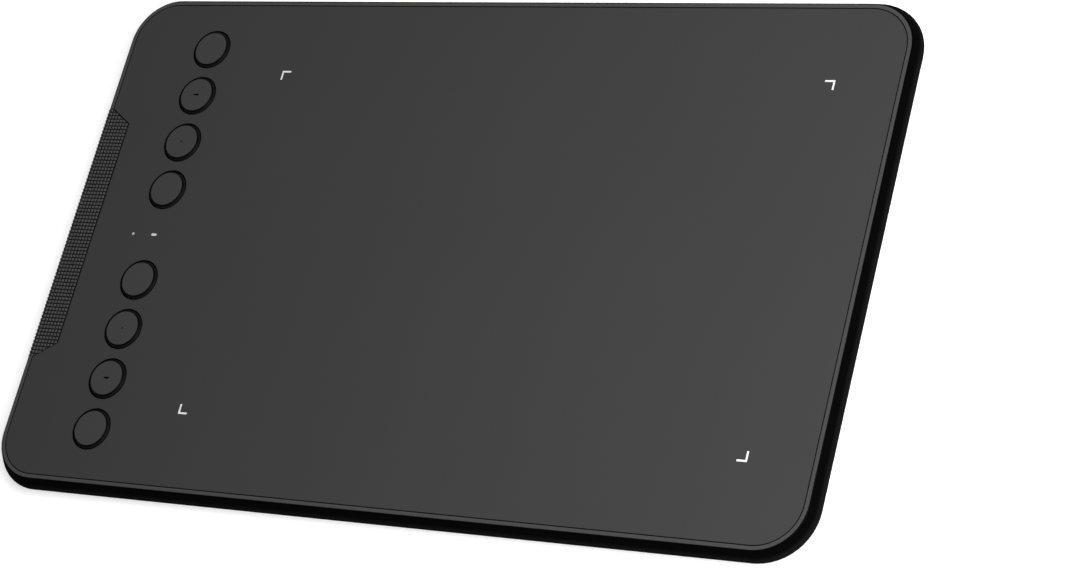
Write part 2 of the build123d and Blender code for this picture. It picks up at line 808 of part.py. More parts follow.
socket_places = (
    ("ribbon_socket_board", socket_board_x, socket_board_z, 1),
    ("ribbon_socket_sensor", socket_sensor_x, socket_sensor_z, -1),
)
for name, socket_x, socket_z, facing in socket_places:
    with BuildPart() as ribbon_socket:
        with BuildSketch(Plane((socket_x, 0, socket_z - socket_height / 2))):
            Rectangle(socket_width, socket_length)
        extrude(amount=socket_height)
        mouth_x = socket_x + facing * socket_width / 2
        slot_plane = Plane(origin=(mouth_x, 0, socket_z), x_dir=(0, 1, 0), z_dir=(-facing, 0, 0))
        with BuildSketch(slot_plane):
            Rectangle(ribbon_width + 2 * slot_clearance, ribbon_thickness + 2 * slot_clearance)
        extrude(amount=ribbon_entry + slot_clearance, mode=Mode.SUBTRACT)

    ribbon_socket.part.label = name
    export_step(ribbon_socket.part, f"parts/{name}.step")

with BuildPart() as ribbon_cable:
    with BuildSketch(Plane(origin=(0, ribbon_width / 2, 0), x_dir=(1, 0, 0), z_dir=(0, -1, 0))):
        board_mouth_x = socket_board_x + socket_width / 2
        sensor_mouth_x = socket_sensor_x - socket_width / 2
        with BuildLine() as ribbon_route:
            FilletPolyline(
                (board_mouth_x - ribbon_entry, socket_board_z),
                (board_mouth_x + ribbon_straight, socket_board_z),
                (sensor_mouth_x - ribbon_straight, socket_sensor_z),
                (sensor_mouth_x + ribbon_entry, socket_sensor_z),
                radius=ribbon_bend,
            )
        trace(line_width=ribbon_thickness)
    extrude(amount=ribbon_width)

ribbon_cable.part.label = "ribbon_cable"
export_step(ribbon_cable.part, "parts/ribbon_cable.step")

# Screws: a flat round head and a plain shank each

with BuildPart() as case_screws:
    with BuildSketch(level(case_head_top_z - case_head_height)):
        with Locations(*case_screw_places):
            Circle(case_head_radius)
    extrude(amount=case_head_height)
    with BuildSketch(level(case_head_top_z)):
        with Locations(*case_screw_places):
            Circle(case_screw_radius)
    extrude(amount=case_screw_length)

case_screws.part.label = "case_screws"
export_step(case_screws.part, "parts/case_screws.step")

with BuildPart() as board_screws:
    with BuildSketch(level(board_top_z)):
        with Locations(*board_screw_places):
            Circle(board_head_radius)
    extrude(amount=board_head_height)
    with BuildSketch(level(board_top_z)):
        with Locations(*board_screw_places):
            Circle(board_screw_radius)
    extrude(amount=board_thickness + board_screw_depth - screw_tip_gap, dir=down)

board_screws.part.label = "board_screws"
export_step(board_screws.part, "parts/board_screws.step")

# Rubber feet in their pockets

for number, (x, y) in enumerate(foot_places, start=1):
    with BuildPart() as foot:
        with BuildSketch(Plane((x, y, 0))):
            SlotOverall(foot_length, foot_width)
        extrude(amount=base_z + foot_pocket)
        chamfer(foot.edges().group_by(Axis.Z)[0], foot_edge)

    foot.part.label = f"foot_{number}"
    export_step(foot.part, f"parts/foot_{number}.step")
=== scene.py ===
"""Dresses a small graphics tablet: finishes, marks, studs, screws, contacts, domes, studio and camera."""

import json
import logging
import math
from dataclasses import dataclass
from enum import Enum
from typing import Callable, Dict, List, Sequence, Tuple, Union

import bpy
from mathutils import Matrix, Vector


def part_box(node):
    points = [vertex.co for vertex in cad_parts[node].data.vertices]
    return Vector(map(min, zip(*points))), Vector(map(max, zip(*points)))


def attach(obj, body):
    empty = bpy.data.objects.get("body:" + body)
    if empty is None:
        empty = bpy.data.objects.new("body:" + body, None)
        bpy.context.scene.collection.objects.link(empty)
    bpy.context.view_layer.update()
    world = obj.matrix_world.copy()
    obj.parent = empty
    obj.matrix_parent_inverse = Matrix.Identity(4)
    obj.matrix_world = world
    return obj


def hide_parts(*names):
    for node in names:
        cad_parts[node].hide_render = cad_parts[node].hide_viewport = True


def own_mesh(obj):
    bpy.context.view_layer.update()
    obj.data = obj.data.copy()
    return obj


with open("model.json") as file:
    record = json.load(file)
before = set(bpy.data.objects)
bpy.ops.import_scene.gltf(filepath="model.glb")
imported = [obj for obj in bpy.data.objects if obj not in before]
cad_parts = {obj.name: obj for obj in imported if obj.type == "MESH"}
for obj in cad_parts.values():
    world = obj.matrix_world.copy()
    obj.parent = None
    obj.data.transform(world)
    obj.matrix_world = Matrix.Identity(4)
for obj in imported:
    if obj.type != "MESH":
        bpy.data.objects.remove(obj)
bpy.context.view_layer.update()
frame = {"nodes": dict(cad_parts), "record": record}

log = logging.getLogger("tablet")

MM = 0.001
ROOT_BODY = "tablet"

# The standard display curve: its levels, the end and slope of its toe, and its shift and power
LEVELS = 255.0
TOE_END = 0.04045
TOE_SLOPE = 12.92
CURVE_SHIFT = 0.055
CURVE_POWER = 2.4

# Sockets of the colour Mix node
MIX_FACTOR, MIX_FIRST, MIX_SECOND, MIX_RESULT = 0, 6, 7, 2

# How much each finer layer of a noise counts
NOISE_ROUGHNESS = 0.55

# How squarely a face has to look along an axis to be picked, and the corners of a plain face
FACING = 0.9
PLAIN_CORNERS = 4

Triple = Tuple[float, float, float]
Pair = Tuple[float, float]
Value = Union["Signal", float]
Piece = bpy.types.Object


def linear(level: float) -> float:
    """Turns a display level into the linear level that shaders use.

    Args:
        level: The display level, from 0 to 255.

    Returns:
        The linear level, from 0 to 1.
    """
    share = level / LEVELS
    if share <= TOE_END:
        return share / TOE_SLOPE
    return ((share + CURVE_SHIFT) / (1.0 + CURVE_SHIFT)) ** CURVE_POWER


def tone(levels: Triple, share: float = 1.0) -> Tuple[float, float, float, float]:
    """A shader colour from display levels of red, green and blue, each times a share."""
    red, green, blue = (linear(level * share) for level in levels)
    return (red, green, blue, 1.0)


class Signal:
    """A socket or number of a material, on which plain arithmetic adds Math nodes."""

    def __init__(self, paint: "Paint", value: Union[float, bpy.types.NodeSocket]) -> None:
        """Wraps a value of a material in the making."""
        self.paint = paint
        self.value = value

    def _math(self, operation: str, *others: Value) -> "Signal":
        """Adds one Math node that works on this value and those that follow."""
        inputs = dict(enumerate((self, *others)))
        return self.paint.node("ShaderNodeMath", {"operation": operation}, inputs)

    def __add__(self, other: Value) -> "Signal":
        """The sum."""
        return self._math("ADD", other)

    __radd__ = __add__

    def __mul__(self, other: Value) -> "Signal":
        """The product."""
        return self._math("MULTIPLY", other)

    __rmul__ = __mul__

    def __abs__(self) -> "Signal":
        """The size without its sign."""
        return self._math("ABSOLUTE")

    def larger(self, other: Value) -> "Signal":
        """The larger of two values."""
        return self._math("MAXIMUM", other)

    def folded(self, width: float) -> "Signal":
        """The value as it runs up and down between 0 and a width."""
        return self._math("PINGPONG", width)

    def blend(self, other: "Signal", share: float = 0.5) -> "Signal":
        """A mean of two values, in which this one has a given share."""
        return self * share + other * (1.0 - share)

    def above(self, edge: float, soft: float) -> "Signal":
        """A mask that rises from 0 to 1 over a soft band round an edge.

        Args:
            edge: Where the mask is half.
            soft: Width of the band.

        Returns:
            The mask.
        """
        settings = {"interpolation_type": "SMOOTHSTEP"}
        inputs = {"Value": self, "From Min": edge - soft / 2, "From Max": edge + soft / 2}
        return self.paint.node("ShaderNodeMapRange", settings, inputs)

    def spread(self, low: float, high: float) -> "Signal":
        """Stretches 0 to 1 to low to high."""
        return self * (high - low) + low

    def around(self, mean: float, swing: float) -> "Signal":
        """Stretches 0 to 1 to a swing either way round a mean."""
        return self.spread(mean - swing, mean + swing)


class Paint:
    """The nodes of a material or a world in the making."""

    def __init__(self, owner: Union[bpy.types.Material, bpy.types.World]) -> None:
        """Takes a material or a world and clears its nodes.

        Args:
            owner: The material or world.
        """
        self.owner = owner
        owner.use_nodes = True
        self.tree = owner.node_tree
        self.tree.nodes.clear()

    def add(self, kind: str, settings: Dict, inputs: Dict) -> bpy.types.Node:
        """Adds any node.

        Args:
            kind: The node's type.
            settings: The node's own settings.
            inputs: Socket name or number to a value or a Signal.

        Returns:
            The node.
        """
        made = self.tree.nodes.new(kind)
        for name, value in settings.items():
            setattr(made, name, value)
        for name, value in inputs.items():
            held = value.value if isinstance(value, Signal) else value
            if isinstance(held, bpy.types.NodeSocket):
                self.tree.links.new(held, made.inputs[name])
            else:
                made.inputs[name].default_value = held
        return made

    def node(self, kind: str, settings: Dict, inputs: Dict, out: Union[int, str] = 0) -> Signal:
        """Adds any node and gives the output with a name or number."""
        return Signal(self, self.add(kind, settings, inputs).outputs[out])

    def place(self) -> Signal:
        """The place on the object, in metres."""
        return self.node("ShaderNodeTexCoord", {}, {}, "Object")

    def axis(self, place: Signal, which: str) -> Signal:
        """One coordinate, X, Y or Z, of a place."""
        return self.node("ShaderNodeSeparateXYZ", {}, {0: place}, which)

    def noise(self, place: Signal, size: float, detail: float = 3.0) -> Signal:
        """A noise from 0 to 1, with grains of a size in metres and a number of finer layers."""
        inputs = {"Vector": place, "Scale": 1.0 / size, "Detail": detail, "Roughness": NOISE_ROUGHNESS}
        return self.node("ShaderNodeTexNoise", {}, inputs)

    def cells(self, place: Signal, size: float) -> Signal:
        """The distance to the nearest cell centre, for pebbled grain of a given size in metres."""
        inputs = {"Vector": place, "Scale": 1.0 / size}
        return self.node("ShaderNodeTexVoronoi", {"feature": "SMOOTH_F1"}, inputs, "Distance")

    def mix(self, factor: Value, first: object, second: object) -> Signal:
        """A colour between two others.

        Args:
            factor: How far the colour goes from the first to the second.
            first: The colour where the factor is 0.
            second: The colour where it is 1.

        Returns:
            The colour.
        """
        settings = {"data_type": "RGBA", "clamp_factor": True}
        inputs = {MIX_FACTOR: factor, MIX_FIRST: first, MIX_SECOND: second}
        return self.node("ShaderNodeMix", settings, inputs, MIX_RESULT)

    def bump(self, height: Signal, depth: float) -> Signal:
        """A normal that follows a height from 0 to 1, where 1 stands for a depth in metres."""
        return self.node("ShaderNodeBump", {}, {"Strength": 1.0, "Distance": depth, "Height": height})

    def surface(self, **sockets: object) -> None:
        """Ends the material with a Principled surface; underscores in socket names stand for spaces."""
        inputs = {name.replace("_", " "): value for name, value in sockets.items()}
        self.close(self.node("ShaderNodeBsdfPrincipled", {}, inputs))

    def close(self, shader: Signal, kind: str = "ShaderNodeOutputMaterial") -> None:
        """Links a shader to the output of the material or world."""
        self.add(kind, {}, {"Surface": shader})

    def seen(self) -> Signal:
        """A mask of what the eye looks at, straight, by reflection or through glass.

        Returns:
            1 for such looks, and 0 where light falls.
        """
        rays = [
            self.node("ShaderNodeLightPath", {}, {}, f"Is {kind} Ray")
            for kind in ("Camera", "Glossy", "Transmission")
        ]
        return rays[0].larger(rays[1]).larger(rays[2])


class Finish:
    """What all finishes share: a material that is painted by the place on the object.

    Colours are display levels. Sizes, and heights above the desk, are in metres. Roughness as a pair
    is the least and the greatest, specular is the strength of the plain reflection, and grain and
    depth are the size and depth of the finest grain.
    """

    def make(self, name: str) -> bpy.types.Material:
        """Builds the material.

        Args:
            name: Name of the material.

        Returns:
            The material.
        """
        paint = Paint(bpy.data.materials.new(name))
        self.coat(paint, paint.place())
        return paint.owner

    def coat(self, paint: Paint, place: Signal) -> None:
        """Lays the finish down, which each finish does in its own way."""
        raise NotImplementedError


@dataclass(frozen=True)
class Plastic(Finish):
    """Moulded plastic with a fine spark-eroded grain.

    Args:
        mottle: How far the colour wanders, as a share.
        patch: Size of the broad patches, in grains.
        fine_share: Share of the fine grain in the wandering colour.
        swing: How far the roughness wanders either way.
    """

    colour: Triple
    roughness: float = 0.5
    grain: float = 0.25 * MM
    depth: float = 0.006 * MM
    mottle: float = 0.12
    specular: float = 0.35
    patch: float = 60.0
    fine_share: float = 0.6
    swing: float = 0.06

    def coat(self, paint: Paint, place: Signal) -> None:
        """Lays down the grain, the mottled colour and the wandering roughness.

        Args:
            paint: The material in the making.
            place: The place on the object.
        """
        fine = paint.noise(place, self.grain, detail=2.0)
        broad = paint.noise(place, self.patch * self.grain)
        shade, light = tone(self.colour, 1.0 - self.mottle), tone(self.colour, 1.0 + self.mottle)
        paint.surface(
            Base_Color=paint.mix(fine.blend(broad, self.fine_share), shade, light),
            Roughness=fine.blend(broad).around(self.roughness, self.swing),
            Specular_IOR_Level=self.specular,
            Normal=paint.bump(fine, self.depth),
        )


@dataclass(frozen=True)
class FramePlastic(Finish):
    """The top frame: a satin rim with a painted highlight down its shoulder, above a deep black side with
    a paler lower edge of painted reflection.

    Args:
        rim: Colour of the rim, its own satin tone, which also paints the highlight on the shoulder.
        side: Colour of the side.
        foot: Colour of the side's lower edge, a painted reflection.
        rim_and_highlight_height: Height where the rim's tone, with its painted highlight on the shoulder,
            ends.
        reflection_height: Height where the painted reflection on the lower edge ends.
        soft: Height of the passage from the side to the rim.
        reflection_soft: Height of the passage from the painted reflection to the side.
        shade: The rim's darkest tone, as a share of its levels.
        roughness: Least roughness of the side and of the rim.
        swing: How far the roughness wanders upwards.
        gloss: Weight of the coat on the side and on the rim.
        gloss_roughness: Roughness of the coat.
    """

    rim: Triple
    side: Triple
    foot: Triple
    rim_and_highlight_height: float
    reflection_height: float
    soft: float = 0.06 * MM
    reflection_soft: float = 1.4 * MM
    shade: float = 0.92
    roughness: Pair = (0.38, 0.46)
    swing: float = 0.08
    gloss: Pair = (0.012, 0.36)
    gloss_roughness: float = 0.3
    specular: float = 0.0
    grain: float = 0.2 * MM
    depth: float = 0.004 * MM

    def coat(self, paint: Paint, place: Signal) -> None:
        """Lays down the painted reflection on the lower edge, the side, and the rim with its painted
        highlight, by their heights.

        Args:
            paint: The material in the making.
            place: The place on the object.
        """
        fine = paint.noise(place, self.grain, detail=2.0)
        height = paint.axis(place, "Z")
        # Painted highlight: the rim's pale tone reaches down the shoulder as far as light falls on it.
        on_rim_and_highlight = height.above(self.rim_and_highlight_height, self.soft)
        # Painted reflection: the black side turns paler towards its lower edge.
        side = paint.mix(height.above(self.reflection_height, self.reflection_soft), tone(self.foot), tone(self.side))
        rim = paint.mix(fine, tone(self.rim, self.shade), tone(self.rim))
        paint.surface(
            Base_Color=paint.mix(on_rim_and_highlight, side, rim),
            Roughness=on_rim_and_highlight.spread(*self.roughness) + fine * self.swing,
            Specular_IOR_Level=self.specular,
            Coat_Weight=on_rim_and_highlight.spread(*self.gloss),
            Coat_Roughness=self.gloss_roughness,
            Normal=paint.bump(fine, self.depth),
        )


@dataclass(frozen=True)
class KeyPlastic(Finish):
    """A key cap: a matt crown, a band of painted shade under its edge and in the sunk mark, and a paler
    flank of painted reflection.

    Args:
        crown: Colour of the crown.
        band: Colour of the painted shade under the crown's edge and in the sunk mark.
        flank: Colour of the flank below the band, a painted reflection.
        crown_height: Height where the crown ends.
        shade_band_height: Height where the band of painted shade ends.
        soft: Height of the passages between them.
        shade: The crown's darkest tone, as a share of its levels.
    """

    crown: Triple
    band: Triple
    flank: Triple
    crown_height: float
    shade_band_height: float
    soft: float = 0.05 * MM
    shade: float = 0.94
    roughness: Pair = (0.46, 0.54)
    specular: float = 0.02
    grain: float = 0.16 * MM
    depth: float = 0.004 * MM

    def coat(self, paint: Paint, place: Signal) -> None:
        """Lays down the flank's painted reflection, the band of painted shade and the crown by their
        heights.

        Args:
            paint: The material in the making.
            place: The place on the object.
        """
        fine = paint.noise(place, self.grain, detail=2.0)
        height = paint.axis(place, "Z")
        crown = paint.mix(fine, tone(self.crown, self.shade), tone(self.crown))
        # Painted shade: black under the crown's edge and in the sunk mark, over a flank lightened by
        # painted reflection.
        below = paint.mix(height.above(self.shade_band_height, self.soft), tone(self.flank), tone(self.band))
        paint.surface(
            Base_Color=paint.mix(height.above(self.crown_height, self.soft), below, crown),
            Roughness=fine.spread(*self.roughness),
            Specular_IOR_Level=self.specular,
            Normal=paint.bump(fine, self.depth),
        )


@dataclass(frozen=True)
class PanelFilm(Finish):
    """The paper-like drawing surface: a very fine grain, a faint broad unevenness, and darker edge walls
    below the surface.

    Args:
        cut: Colour of the edge walls below the surface.
        top: Height of the surface.
        edge: Height over which the darker edge wall passes into the surface.
        pebble: Size of the pebbled grain, in grains.
        patch: Size of the broad unevenness.
        mottle: How far the colour wanders, as a share.
        fine_share: Share of the fine grain in the wandering colour.
    """

    colour: Triple
    cut: Triple
    top: float
    edge: float = 0.03 * MM
    pebble: float = 2.0
    patch: float = 40 * MM
    mottle: float = 0.07
    fine_share: float = 0.75
    roughness: Pair = (0.5, 0.58)
    specular: float = 0.02
    grain: float = 0.16 * MM
    depth: float = 0.004 * MM

    def coat(self, paint: Paint, place: Signal) -> None:
        """Lays down the grained face and the darker edge walls below it.

        Args:
            paint: The material in the making.
            place: The place on the object.
        """
        fine = paint.noise(place, self.grain, detail=2.0)
        pebble = paint.cells(place, self.pebble * self.grain)
        broad = paint.noise(place, self.patch, detail=2.0)
        shade, light = tone(self.colour, 1.0 - self.mottle), tone(self.colour, 1.0 + self.mottle)
        face = paint.mix(fine.blend(broad, self.fine_share), shade, light)
        on_face = paint.axis(place, "Z").above(self.top - self.edge, self.edge)
        paint.surface(
            Base_Color=paint.mix(on_face, tone(self.cut), face),
            Roughness=pebble.blend(broad).spread(*self.roughness),
            Specular_IOR_Level=self.specular,
            Normal=paint.bump(fine.blend(pebble), self.depth),
        )


@dataclass(frozen=True)
class Rubber(Finish):
    """Soft black rubber with a dusty bloom.

    Args:
        bloom: Colour of the bloom.
        patch: Size of the bloom's patches, in grains.
        swing: How far the roughness wanders either way.
    """

    colour: Triple
    bloom: Triple
    roughness: float = 0.7
    grain: float = 0.3 * MM
    depth: float = 0.01 * MM
    specular: float = 0.12
    patch: float = 14.0
    swing: float = 0.08

    def coat(self, paint: Paint, place: Signal) -> None:
        """Lays down the rubber and its bloom.

        Args:
            paint: The material in the making.
            place: The place on the object.
        """
        fine = paint.noise(place, self.grain)
        patches = paint.noise(place, self.patch * self.grain)
        paint.surface(
            Base_Color=paint.mix(patches * fine, tone(self.colour), tone(self.bloom)),
            Roughness=fine.around(self.roughness, self.swing),
            Specular_IOR_Level=self.specular,
            Normal=paint.bump(fine, self.depth),
        )


@dataclass(frozen=True)
class Metal(Finish):
    """Rolled or plated metal with faint streaks along one axis.

    Args:
        streak: How much finer the streaks are across than along each axis.
        roughness: Roughness between the streaks and patches.
        patch: Size of the duller patches, in grains.
        dull: The dullest tone, as a share of the colour's levels.
        smoother: How far the roughness goes down from its mean.
        rougher: How far it goes up.
    """

    colour: Triple
    streak: Triple = (1.0, 1.0, 1.0)
    roughness: float = 0.32
    grain: float = 0.3 * MM
    depth: float = 0.003 * MM
    patch: float = 12.0
    dull: float = 0.86
    smoother: float = 0.08
    rougher: float = 0.1

    def coat(self, paint: Paint, place: Signal) -> None:
        """Lays down the streaks and the duller patches.

        Args:
            paint: The material in the making.
            place: The place on the object.
        """
        drawn = paint.node("ShaderNodeMapping", {}, {"Vector": place, "Scale": self.streak})
        lines = paint.noise(drawn, self.grain, detail=2.0)
        patches = paint.noise(place, self.patch * self.grain)
        paint.surface(
            Base_Color=paint.mix(lines.blend(patches), tone(self.colour, self.dull), tone(self.colour)),
            Metallic=1.0,
            Roughness=lines.spread(self.roughness - self.smoother, self.roughness + self.rougher),
            Normal=paint.bump(lines, self.depth),
        )


@dataclass(frozen=True)
class BoardMask(Finish):
    """Solder mask over glass laminate, with copper tracks that show faintly through it.

    Args:
        mask: Colour of the mask.
        track: Colour of the mask over copper.
        pitch: Distance from one track to the next.
        wander: How far the tracks wander sideways, in pitches.
        bend: Length of their bends, in pitches.
        track_edge: How far from the track's middle line the mask is dark, in pitches.
        track_soft: Width of the track's soft edge, in pitches.
        weave: Size of the laminate's weave.
        weave_share: How strongly the weave shows in the mask.
        track_share: How strongly the tracks show in it.
    """

    mask: Triple
    track: Triple
    pitch: float = 2.2 * MM
    wander: float = 2.0
    bend: float = 5.0
    track_edge: float = 0.36
    track_soft: float = 0.05
    weave: float = 0.4 * MM
    weave_share: float = 0.3
    track_share: float = 0.7
    roughness: Pair = (0.25, 0.4)
    specular: float = 0.5
    depth: float = 0.03 * MM

    def coat(self, paint: Paint, place: Signal) -> None:
        """Lays down the mask, the weave and the tracks.

        Args:
            paint: The material in the making.
            place: The place on the object.
        """
        bends = paint.noise(place, self.bend * self.pitch, detail=0.0)
        across = paint.axis(place, "X") * (1.0 / self.pitch) + bends * self.wander
        tracks = across.folded(0.5).above(self.track_edge, self.track_soft)
        weave = paint.noise(place, self.weave)
        base = paint.mix(weave * self.weave_share, tone(self.mask), tone(self.track))
        paint.surface(
            Base_Color=paint.mix(tracks * self.track_share, base, tone(self.track)),
            Roughness=weave.spread(*self.roughness),
            Specular_IOR_Level=self.specular,
            Normal=paint.bump(tracks, self.depth),
        )


@dataclass(frozen=True)
class Clear(Finish):
    """Frosted clear plastic, as light windows and pipes are moulded from.

    Args:
        milk: The milkiest tone, as a share of the colour's levels.
    """

    colour: Triple
    milk: float = 0.9
    roughness: Pair = (0.3, 0.5)
    specular: float = 0.5
    grain: float = 0.12 * MM
    depth: float = 0.004 * MM

    def coat(self, paint: Paint, place: Signal) -> None:
        """Lays down the frost.

        Args:
            paint: The material in the making.
            place: The place on the object.
        """
        frost = paint.noise(place, self.grain)
        paint.surface(
            Base_Color=paint.mix(frost, tone(self.colour, self.milk), tone(self.colour)),
            Roughness=frost.spread(*self.roughness),
            Specular_IOR_Level=self.specular,
            Normal=paint.bump(frost, self.depth),
        )


@dataclass(frozen=True)
class Ink(Finish):
    """Screen-printed ink: nearly even, with a slightly ragged tone.

    Args:
        thin: The thinnest tone, as a share of the colour's levels.
    """

    colour: Triple
    thin: float = 0.93
    roughness: Pair = (0.5, 0.65)
    specular: float = 0.3
    grain: float = 0.1 * MM

    def coat(self, paint: Paint, place: Signal) -> None:
        """Lays down the ink and its ragged tone.

        Args:
            paint: The material in the making.
            place: The place on the object.
        """
        speck = paint.noise(place, self.grain)
        paint.surface(
            Base_Color=paint.mix(speck, tone(self.colour, self.thin), tone(self.colour)),
            Roughness=speck.spread(*self.roughness),
            Specular_IOR_Level=self.specular,
        )


class Slot(Enum):
    """The record's material slots."""

    FRAME = "frame_plastic"
    COVER = "cover_plastic"
    PANEL = "panel_film"
    ADHESIVE = "adhesive_film"
    GRIP = "grip_rubber"
    KEY = "key_plastic"
    PLUNGER = "plunger_plastic"
    SWITCH = "switch_plastic"
    DOME = "dome_steel"
    BOARD = "circuit_board"
    SHIELD = "shield_steel"
    FOAM = "insulation_foam"
    RIBBON = "ribbon_film"
    SOCKET = "socket_plastic"
    CONNECTOR = "connector_steel"
    TONGUE = "tongue_plastic"
    CHIP = "chip_plastic"
    CRYSTAL = "crystal_can"
    LIGHT = "light_plastic"
    CLEAR = "clear_plastic"
    SCREW = "screw_steel"
    FOOT = "foot_rubber"


FINISHES = {
    # The frame's rim tone runs down the shoulder as a painted highlight; the side's paler lower edge is a
    # painted reflection.
    Slot.FRAME: FramePlastic(
        (63, 63, 64), (4, 4, 4), (17, 17, 17), rim_and_highlight_height=8.765 * MM, reflection_height=6.3 * MM
    ),
    Slot.COVER: Plastic((33, 33, 34), roughness=0.52, grain=0.4 * MM, depth=0.02 * MM, specular=0.12),
    Slot.PANEL: PanelFilm((60, 60, 60), (12, 12, 12), top=8.8 * MM),
    Slot.ADHESIVE: Plastic((214, 208, 188), roughness=0.35, mottle=0.04),
    Slot.GRIP: Rubber((14, 14, 15), (26, 26, 27), specular=0.04),
    # The key's band under its crown and in the sunk mark is painted shade, and its paler flank is a
    # painted reflection.
    Slot.KEY: KeyPlastic(
        (66, 66, 66), (3, 3, 3), (20, 20, 20), crown_height=9.46 * MM, shade_band_height=9.05 * MM
    ),
    Slot.PLUNGER: Plastic((190, 184, 170), roughness=0.4, mottle=0.05),
    Slot.SWITCH: Plastic((34, 34, 34), roughness=0.42),
    Slot.DOME: Metal((216, 214, 208), roughness=0.24),
    Slot.BOARD: BoardMask((6, 34, 23), (24, 72, 50)),
    Slot.SHIELD: Metal((196, 198, 200), streak=(0.05, 1.0, 1.0)),
    Slot.FOAM: Rubber((40, 40, 40), (74, 74, 72), roughness=0.85, grain=0.5 * MM),
    Slot.RIBBON: Plastic((222, 216, 204), roughness=0.35, mottle=0.04),
    Slot.SOCKET: Plastic((224, 214, 194), roughness=0.4, mottle=0.05),
    Slot.CONNECTOR: Metal((206, 205, 202), streak=(0.06, 1.0, 1.0), roughness=0.26),
    Slot.TONGUE: Plastic((20, 20, 21), roughness=0.35),
    Slot.CHIP: Plastic((38, 38, 39), roughness=0.55, grain=0.12 * MM),
    Slot.CRYSTAL: Metal((208, 206, 200), roughness=0.3),
    Slot.LIGHT: Plastic((236, 226, 186), roughness=0.3, mottle=0.04),
    Slot.CLEAR: Clear((182, 183, 184)),
    Slot.SCREW: Metal((92, 92, 95), roughness=0.36),
    Slot.FOOT: Rubber((12, 12, 13), (24, 24, 25), grain=0.5 * MM),
}

# Painted glow: a paler copy of the clear plastic, for a light window that looks lit from inside.
GLOW_PAINTED_WINDOW = Clear((222, 223, 224))
MARK_INK = Ink((236, 236, 236))
# Painted highlight: a paler copy of the grip rubber, for the light that the studs' tops catch.
STUD_RUBBER_HIGHLIGHT = Rubber((62, 62, 63), (82, 82, 83), roughness=0.5)
CONTACT_GILT = Metal((222, 186, 112), streak=(0.1, 1.0, 1.0), roughness=0.24)


class Wardrobe:
    """Makes each finish once and puts it on nodes and pieces."""

    def __init__(self) -> None:
        """Starts with nothing made."""
        self.made: Dict[str, bpy.types.Material] = {}

    def material(self, name: str, finish: Finish) -> bpy.types.Material:
        """The material of a finish, made at its first use.

        Args:
            name: Name of the material.
            finish: The finish.

        Returns:
            The material.
        """
        if name not in self.made:
            self.made[name] = finish.make(name)
        return self.made[name]

    def dress(self, piece: Piece, name: str, finish: Finish) -> None:
        """Gives a piece one material."""
        piece.data.materials.clear()
        piece.data.materials.append(self.material(name, finish))

    def dress_nodes(self) -> None:
        """Gives every node of the frame the finish of its slot in the record."""
        for part in frame["record"]["subparts"]:
            slot = Slot(part["material_slot"])
            self.dress(frame["nodes"][part["node"]], slot.value, FINISHES[slot])
        # The bar's light window gets the paler copy of the clear plastic: a painted glow.
        self.dress(frame["nodes"]["bar_light_pipe"], "glow_painted_bar", GLOW_PAINTED_WINDOW)
        log.info("dressed %d nodes", len(frame["nodes"]))


def clear_selection() -> None:
    """Deselects every object."""
    for obj in bpy.context.selected_objects:
        obj.select_set(False)


def activate(obj: Piece) -> None:
    """Makes one object the only selected and active one.

    Args:
        obj: The object.
    """
    clear_selection()
    obj.select_set(True)
    bpy.context.view_layer.objects.active = obj


def enter_edit(obj: Piece) -> None:
    """Enters edit mode with all of an object selected.

    Args:
        obj: The object.
    """
    activate(obj)
    bpy.ops.object.mode_set(mode="EDIT")
    bpy.ops.mesh.select_all(action="SELECT")


def leave_edit() -> None:
    """Goes back to object mode."""
    bpy.ops.object.mode_set(mode="OBJECT")


def select_faces(obj: Piece, keep: Callable[[bpy.types.MeshPolygon], bool]) -> None:
    """Enters edit mode with only some faces selected.

    Args:
        obj: The object.
        keep: The test that a face has to pass.
    """
    activate(obj)
    bpy.ops.object.mode_set(mode="EDIT")
    bpy.ops.mesh.select_mode(type="FACE")
    bpy.ops.mesh.select_all(action="DESELECT")
    leave_edit()
    for face in obj.data.polygons:
        face.select = keep(face)
    bpy.ops.object.mode_set(mode="EDIT")


def started(name: str) -> Piece:
    """Takes over the primitive that was just added, with its place and size applied to its mesh.

    Args:
        name: Name of the piece.

    Returns:
        The piece.
    """
    obj = bpy.context.active_object
    obj.name = name
    activate(obj)
    bpy.ops.object.transform_apply(location=True, rotation=True, scale=True)
    return obj


def block(name: str, low: Sequence[float], high: Sequence[float]) -> Piece:
    """A closed block between two corners, to be shaped further.

    Args:
        name: Name of the piece.
        low: Lowest corner in metres.
        high: Highest corner in metres.

    Returns:
        The piece.
    """
    clear_selection()
    centre = [(a + b) / 2 for a, b in zip(low, high)]
    bpy.ops.mesh.primitive_cube_add(size=1.0, location=centre)
    bpy.context.active_object.scale = [b - a for a, b in zip(low, high)]
    return started(name)


def extrude(offset: Sequence[float]) -> None:
    """Extrudes the selected faces by an offset in metres, and goes back to object mode."""
    bpy.ops.mesh.extrude_region_move(TRANSFORM_OT_translate={"value": offset})
    leave_edit()


def apply_modifier(obj: Piece, kind: str, **settings: object) -> None:
    """Adds a modifier and applies it.

    Args:
        obj: The object.
        kind: The modifier's type.
        settings: The modifier's own settings.
    """
    activate(obj)
    modifier = obj.modifiers.new(kind.lower(), kind)
    for name, value in settings.items():
        setattr(modifier, name, value)
    bpy.ops.object.modifier_apply(modifier=modifier.name)


def repeat_along_y(obj: Piece, count: int, pitch: float) -> None:
    """Repeats a piece along Y.

    Args:
        obj: The piece.
        count: How many there are in the end.
        pitch: Distance from one to the next, in metres.
    """
    apply_modifier(
        obj,
        "ARRAY",
        count=count,
        use_relative_offset=False,
        use_constant_offset=True,
        constant_offset_displace=(0, pitch, 0),
    )


